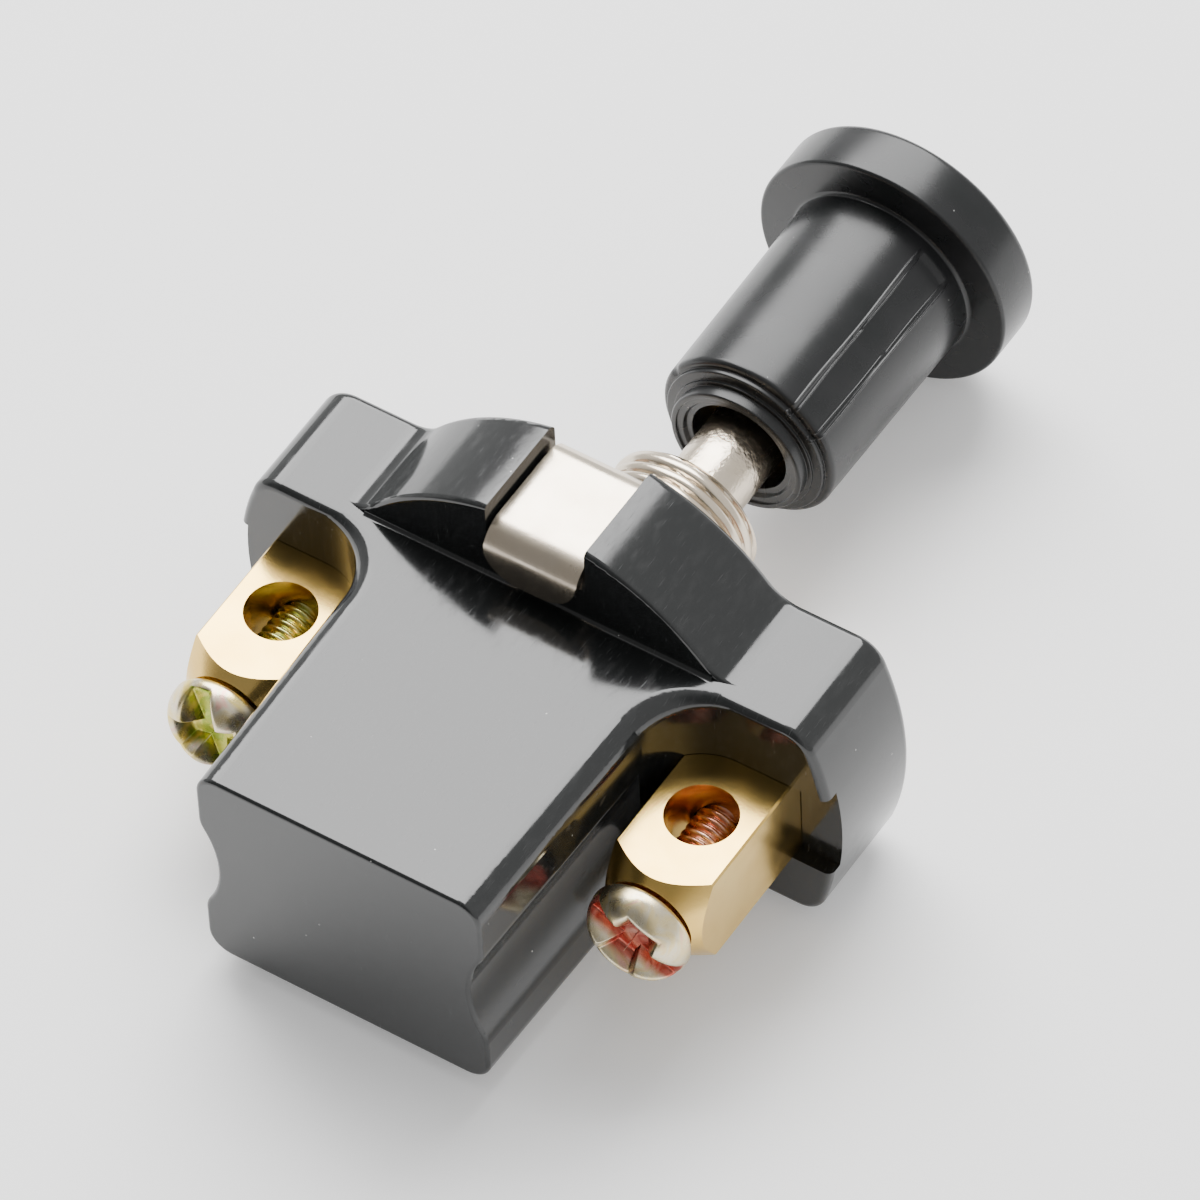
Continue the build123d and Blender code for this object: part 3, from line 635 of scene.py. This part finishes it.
def threaded_bush():
    """Bush with its real panel thread: broad rounded crests and narrow roots."""
    low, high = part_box("threaded_bush")
    front_y = low.y / MM
    outline = bush_outline(front_y, high.y / MM, high.x / MM)

    def cut_thread(angle, radius, y):
        if radius < BUSH_THREAD_R - BUSH_CHAMFER_DEPTH / 2 or y > BUSH_THREAD_END_Y:
            return radius, y
        first_y = front_y + BUSH_RUN_OUT_INSET
        last_y = BUSH_THREAD_END_Y - BUSH_RUN_OUT_INSET
        strength = fade(y, first_y, last_y, BUSH_RUN_OUT)
        depth = BUSH_THREAD_DEPTH * thread_depth(angle, y, BUSH_PITCH, BUSH_ROOT_POWER)
        return radius - depth * strength, y

    angles = even_angles(BUSH_STEPS_ROUND)
    bush = turned_piece("bush_with_thread", outline, angles, shape=cut_thread, ring=True)
    cut_spring_slots(bush)
    bush.data.set_sharp_from_angle(angle=math.radians(SHARP_DEG))
    stand_in(bush, "threaded_bush", "base", MATERIALS["nickel_plated_steel"])


# ---- clamp screws ------------------------------------------------------------------

def smooth_low(a, b, reach):
    """The lower of two heights, blended where they are within reach of each other."""
    t = unit(0.5 + 0.5 * (b - a) / reach)
    return b + (a - b) * t - reach * t * (1 - t)


def mark_pooled(piece, pooled_at):
    """Stores pooled_at(x, y, z), in millimetres, on every point of a piece."""
    attribute = piece.data.attributes.new(POOLED, "FLOAT", "POINT")
    for vert, value in zip(piece.data.vertices, attribute.data):
        value.value = pooled_at(*(vert.co / MM))


def screw_outline(tip_y, head_y, top_y, head_r):
    """Outline from the middle of the tip to the middle of the head, before the recess."""
    thread_y = tip_y + SCREW_CHAMFER
    neck_y = head_y - SCREW_NECK
    neck_r = SCREW_R * SCREW_NECK_SHARE
    outline = rounded([
        (0, tip_y, 0), (SCREW_R - SCREW_CHAMFER, tip_y, 0.1), (SCREW_R, thread_y, 0),
    ])
    steps = int((neck_y - tip_y) / SCREW_PITCH * SCREW_STEPS_PER_TURN)
    outline += divided((SCREW_R, thread_y), (SCREW_R, neck_y), steps)
    outline += rounded([
        (SCREW_R, neck_y, 0), (neck_r, head_y - SCREW_UNDERCUT, 0), (neck_r, head_y, 0),
        (head_r, head_y, HEAD_SEAT_R), (head_r, top_y, HEAD_FRONT_R), (0, top_y, 0),
    ], steps=HEAD_ARC_STEPS)
    outline.pop()
    outline += divided(outline[-1], (0, top_y), HEAD_CROWN_STEPS) + [(0, top_y)]
    return outline


def outside_recess(radius, angle):
    """How far a point of the head lies outside the recess. The slot runs along angle 0."""
    along = radius * math.cos(angle)
    across = radius * math.sin(angle)
    slot = abs(across) - RECESS_HALF
    cross = max(abs(along) - RECESS_HALF, CROSS_END_SLOPE * (abs(across) - CROSS_REACH))
    return max(0.0, min(slot, cross))


def clamp_screw(side_name, material):
    """Pan-head screw: soft donut head, cross recess with a slot through the rim, M4 thread."""
    node = "clamp_screw_" + side_name
    low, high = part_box(node)
    centre = ((low.x + high.x) / 2 / MM, (low.z + high.z) / 2 / MM)
    tip_y = low.y / MM
    top_y = high.y / MM
    head_r = (high.x - low.x) / 2 / MM
    head_y = top_y - SCREW_HEAD_H
    turn = math.radians(SCREW_TURN[side_name])
    outline = screw_outline(tip_y, head_y, top_y, head_r)

    def form(angle, radius, y):
        if y < head_y - SCREW_THREAD_GAP:
            first_y = tip_y + SCREW_RUN_OUT_TIP
            last_y = head_y - SCREW_RUN_OUT_HEAD
            strength = fade(y, first_y, last_y, SCREW_RUN_OUT)
            root = thread_depth(angle, y, SCREW_PITCH, SCREW_ROOT_POWER)
            return radius - SCREW_THREAD_DEPTH * root * strength, y
        if y < head_y + HEAD_SIDE_H:
            return radius, y
        crown = top_y - CROWN_DROP * (radius / head_r) ** 2
        y = min(y, crown)
        floor_y = top_y - RECESS_DEPTH
        wall = floor_y + RECESS_WALL * outside_recess(radius, angle - turn)
        if wall > y + RECESS_SOFTNESS:
            return radius, y
        return radius, smooth_low(y, wall, RECESS_SOFTNESS)

    def film(x, y, z):
        if y < head_y:
            return THREAD_FILM
        radius = math.hypot(x - centre[0], z - centre[1])
        if y < top_y - RECESS_DEPTH - FILM_FLOOR_GAP or radius > head_r - FILM_EDGE:
            return 0.0
        angle = math.atan2(z - centre[1], x - centre[0])
        near = 1 - outside_recess(radius, angle - turn) / FILM_REACH
        inside = (head_r + FILM_RIM_REACH - radius) / FILM_RIM_RUN
        sunk = (top_y - CROWN_DROP - FILM_CROWN_GAP - y) / FILM_SINK + FILM_SINK_START
        return unit(near) * unit(inside) * unit(sunk)

    name = "clamp_screw_with_thread_" + side_name
    screw = turned_piece(name, outline, even_angles(SCREW_STEPS_ROUND), centre, form)
    mark_pooled(screw, film)
    stand_in(screw, node, "screw_" + side_name, material)


# ---- knob --------------------------------------------------------------------------

def knob_angles():
    """Even steps round the knob, finer where the flash lines run."""
    angles = even_angles(KNOB_STEPS_ROUND)
    middle = math.radians(GROOVE_DEG)
    fine = FLASH_WIDTH / 3 / HUB_R
    for side in (-1, 1):
        for line in FLASH_LINES:
            start = middle + side * line / HUB_R
            columns = range(-FLASH_FINE_STEPS, FLASH_FINE_STEPS + 1)
            angles += [start + fine * i for i in columns]
    return sorted(angle % (2 * math.pi) for angle in angles)


def knob_outline(crown_y, spigot_y, head_r):
    """Outline from the middle of the crown over the head and hub to the bottom of the hole."""
    hub_start = (HUB_HEAD_R, HEAD_REAR_Y + HUB_HEAD_GAP)
    hub_end = (HUB_R, HUB_END_Y - HUB_END_GAP)
    shoulder_r = SPIGOT_R + SHOULDER_WIDTH
    shoulder_y = COLLAR_Y + SHOULDER_HEIGHT
    step_y = spigot_y - FACE_STEP_DEPTH
    lip_y = spigot_y - HOLE_LIP_DEPTH
    outline = rounded([
        (0, crown_y, 0), (head_r - CROWN_EDGE, crown_y, CROWN_EDGE_R), (head_r, HEAD_RIM_Y, 0.7),
        (head_r, HEAD_REAR_Y, 0.3), (HUB_HEAD_R, HEAD_REAR_Y, 0.35), (*hub_start, 0),
    ], steps=8)
    outline[:1] = [(0, crown_y)] + divided((0, crown_y), outline[1], CROWN_STEPS)
    outline += divided(hub_start, hub_end, HUB_STEPS)
    outline += rounded([
        (*hub_end, 0), (HUB_R, HUB_END_Y, 0.4), (COLLAR_R, HUB_END_Y, 0.06),
        (COLLAR_R, COLLAR_Y, 0.12), (shoulder_r, COLLAR_Y, 0.06), (shoulder_r, shoulder_y, 0.08),
        (SPIGOT_R, shoulder_y, 0.06), (SPIGOT_R, spigot_y, 0.15), (FACE_RIM_R, spigot_y, 0.06),
        (FACE_RIM_R, step_y, 0.05), (FACE_STEP_R, step_y, 0.08), (HOLE_LIP_R, lip_y, 0.06),
        (HOLE_R, lip_y, 0.08), (HOLE_R, INSERT_Y, 0), (INSERT_R, INSERT_Y, 0),
        (INSERT_R, INSERT_END_Y, 0), (0, INSERT_END_Y, 0),
    ], steps=4)
    return outline


def flash_height(arc, y):
    """Height of the parting flash, arc millimetres round the hub from the groove's middle."""
    along = (y - HUB_END_Y) / (RIDGE_Y - HUB_END_Y)
    height = 0.0
    for line in FLASH_LINES:
        wander = FLASH_WANDER * math.sin(9 * along + 4 * line)
        if line < GROOVE_HALF and along > 0.5:
            wander += FLASH_JOG
        distance = abs(abs(arc) - line - wander)
        height = max(height, FLASH_HEIGHT * math.exp(-(distance / FLASH_WIDTH) ** 2))
    return height


def nick_depth(angle, y):
    """Depth of the nick in the hub's rear edge."""
    side = math.remainder(angle - math.radians(NICK_DEG), 2 * math.pi) * HUB_R
    return NICK_DEPTH * math.exp(-(side / NICK_WIDTH) ** 2 - ((y - HUB_END_Y) / NICK_LENGTH) ** 2)


def mould(angle, radius, y):
    """Adds the moulding marks to a point of the hub's outside."""
    on_hub = SPIGOT_R + 0.5 < radius < HUB_HEAD_R + 0.1 and y > HEAD_REAR_Y + 0.3
    if not on_hub:
        return radius, y
    ridge = RIDGE_HEIGHT * math.exp(-((y - RIDGE_Y) / RIDGE_WIDTH) ** 2)
    arc = math.remainder(angle - math.radians(GROOVE_DEG), 2 * math.pi) * HUB_R
    edge = unit((GROOVE_HALF + GROOVE_EDGE_WIDTH / 2 - abs(arc)) / GROOVE_EDGE_WIDTH)
    end = unit((y - GROOVE_END_Y) / GROOVE_END_RUN)
    sunk = GROOVE_DEPTH * edge * end
    flash = flash_height(arc, y) * end
    nicked = nick_depth(angle, y) if radius > COLLAR_R + 0.2 else 0.0
    return radius + ridge + flash - sunk - nicked, y


def knob():
    """Moulded knob with its long groove, parting flash, stepped collar and a nicked edge."""
    low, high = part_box("knob")
    outline = knob_outline(low.y / MM, high.y / MM, high.x / MM)
    piece = turned_piece("knob_moulding", outline, knob_angles(), shape=mould)
    piece.data.set_sharp_from_angle(angle=math.radians(SHARP_DEG))
    stand_in(piece, "knob", "knob", MATERIALS["black_knob_plastic"])


# ---- scene -------------------------------------------------------------------------

def place_camera():
    """Camera where the photograph was taken from."""
    azimuth = math.radians(CAMERA_AZIMUTH)
    elevation = math.radians(CAMERA_ELEVATION)
    roll = math.radians(CAMERA_ROLL)
    back = Vector((
        math.sin(azimuth) * math.cos(elevation),
        -math.cos(azimuth) * math.cos(elevation),
        math.sin(elevation),
    ))
    level_right = Vector((math.cos(azimuth), math.sin(azimuth), 0))
    level_up = back.cross(level_right)
    right = level_right * math.cos(roll) - level_up * math.sin(roll)
    up = back.cross(right)
    data = bpy.data.cameras.new("camera")
    data.sensor_width = CAMERA_SENSOR
    data.lens = CAMERA_LENS
    data.clip_start = CLIP_START
    data.clip_end = CLIP_END
    camera = bpy.data.objects.new("camera", data)
    turn = Matrix((right, up, back)).transposed()
    place = (Vector(CAMERA_AIM) + back * CAMERA_DISTANCE) * MM
    camera.matrix_world = Matrix.Translation(place) @ turn.to_4x4()
    bpy.context.scene.collection.objects.link(camera)
    bpy.context.scene.camera = camera


def soft_box(name, direction, distance_mm, size_mm, watts):
    """Area light that faces the switch from a direction."""
    data = bpy.data.lights.new(name, "AREA")
    data.shape = "RECTANGLE"
    data.size, data.size_y = (s * MM for s in size_mm)
    data.energy = watts
    light = bpy.data.objects.new(name, data)
    away = Vector(direction).normalized()
    light.location = away * distance_mm * MM
    light.rotation_mode = "QUATERNION"
    light.rotation_quaternion = away.to_track_quat("Z", "Y")
    bpy.context.scene.collection.objects.link(light)


def world_light():
    """White room, darker behind the camera."""
    world = bpy.data.worlds.new("studio")
    world.use_nodes = True
    nodes = world.node_tree.nodes
    links = world.node_tree.links
    facing = nodes.new("ShaderNodeVectorMath")
    facing.operation = "DOT_PRODUCT"
    facing.inputs[1].default_value = Vector(DIM_TOWARDS).normalized()
    links.new(nodes.new("ShaderNodeTexCoord").outputs["Generated"], facing.inputs[0])
    strength = nodes.new("ShaderNodeMapRange")
    strength.interpolation_type = "SMOOTHSTEP"
    span = {"From Min": DIM_FROM, "From Max": DIM_TO, "To Min": SKY_BRIGHT, "To Max": SKY_DIM}
    for key, value in span.items():
        strength.inputs[key].default_value = value
    links.new(facing.outputs["Value"], strength.inputs["Value"])
    sky = nodes["Background"]
    sky.inputs["Color"].default_value = (1, 1, 1, 1)
    links.new(strength.outputs["Result"], sky.inputs["Strength"])
    bpy.context.scene.world = world


def floor(lowest):
    """Floor just under the lowest point of the switch."""
    mesh = bpy.data.meshes.new("floor")
    half = FLOOR_HALF * MM
    z = lowest - FLOOR_GAP * MM
    corners = [(-half, -half, z), (half, -half, z), (half, half, z), (-half, half, z)]
    mesh.from_pydata(corners, [], [(0, 1, 2, 3)])
    plane = bpy.data.objects.new("floor", mesh)
    bpy.context.scene.collection.objects.link(plane)
    paint(plane, pale_floor())


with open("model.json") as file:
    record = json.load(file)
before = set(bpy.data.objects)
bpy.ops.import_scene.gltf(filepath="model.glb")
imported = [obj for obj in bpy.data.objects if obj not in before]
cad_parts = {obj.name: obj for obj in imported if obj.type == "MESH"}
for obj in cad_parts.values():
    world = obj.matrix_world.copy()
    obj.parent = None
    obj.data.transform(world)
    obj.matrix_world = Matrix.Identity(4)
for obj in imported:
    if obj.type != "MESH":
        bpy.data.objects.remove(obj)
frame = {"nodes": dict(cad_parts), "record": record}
cad_low, cad_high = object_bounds()
slot_of = {part["node"]: part["material_slot"] for part in frame["record"]["subparts"]}
for node_name, node in frame["nodes"].items():
    paint(node, MATERIALS[slot_of[node_name]])
threaded_bush()
paint(frame["nodes"]["pull_rod"], ROD_MATERIAL)
for side in SIDES:
    clamp_screw(side, SCREW_MATERIALS[side])
knob()

floor(cad_low.z)
place_camera()
world_light()
soft_box("overhead", OVERHEAD_TOWARDS, OVERHEAD_DISTANCE, OVERHEAD_SIZE, OVERHEAD_WATTS)
